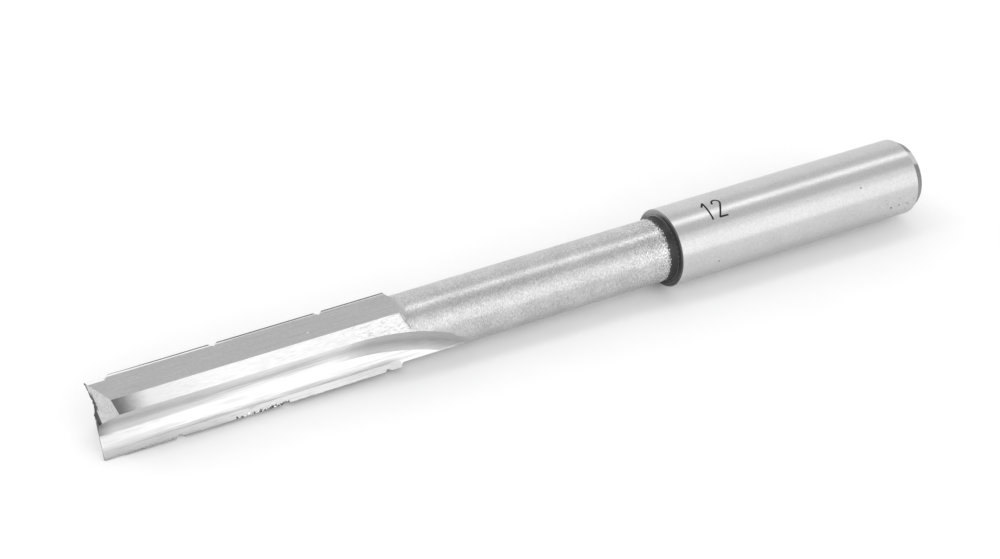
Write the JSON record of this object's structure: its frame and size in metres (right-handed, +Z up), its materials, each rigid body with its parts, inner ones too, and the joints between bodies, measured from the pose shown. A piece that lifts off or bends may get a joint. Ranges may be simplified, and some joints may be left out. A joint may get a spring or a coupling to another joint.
{
  "type": "slot mortising bit",
  "caption": "Straight-fluted slot mortising bit with staggered chip-breaker notches along its edges, a slim neck and a plain round shank.",
  "frame": {"origin": "centre of the shank's end face, on the axis of rotation", "axes": "+X along the axis, out of the shank's end, so the cutting tip points towards -X; +Z up, square to the upper clearance flat, which is how the bit lies on a table"},
  "size_m": [0.15, 0.013, 0.013],
  "materials": {
    "ground_steel": "bare tool steel, turned and ground: fine rings round the neck and shank, lengthwise grinding lines on the flats and in the gullets"
  },
  "bodies": {
    "root": {"mortising_bit": "ground_steel"}
  },
  "joints": []
}
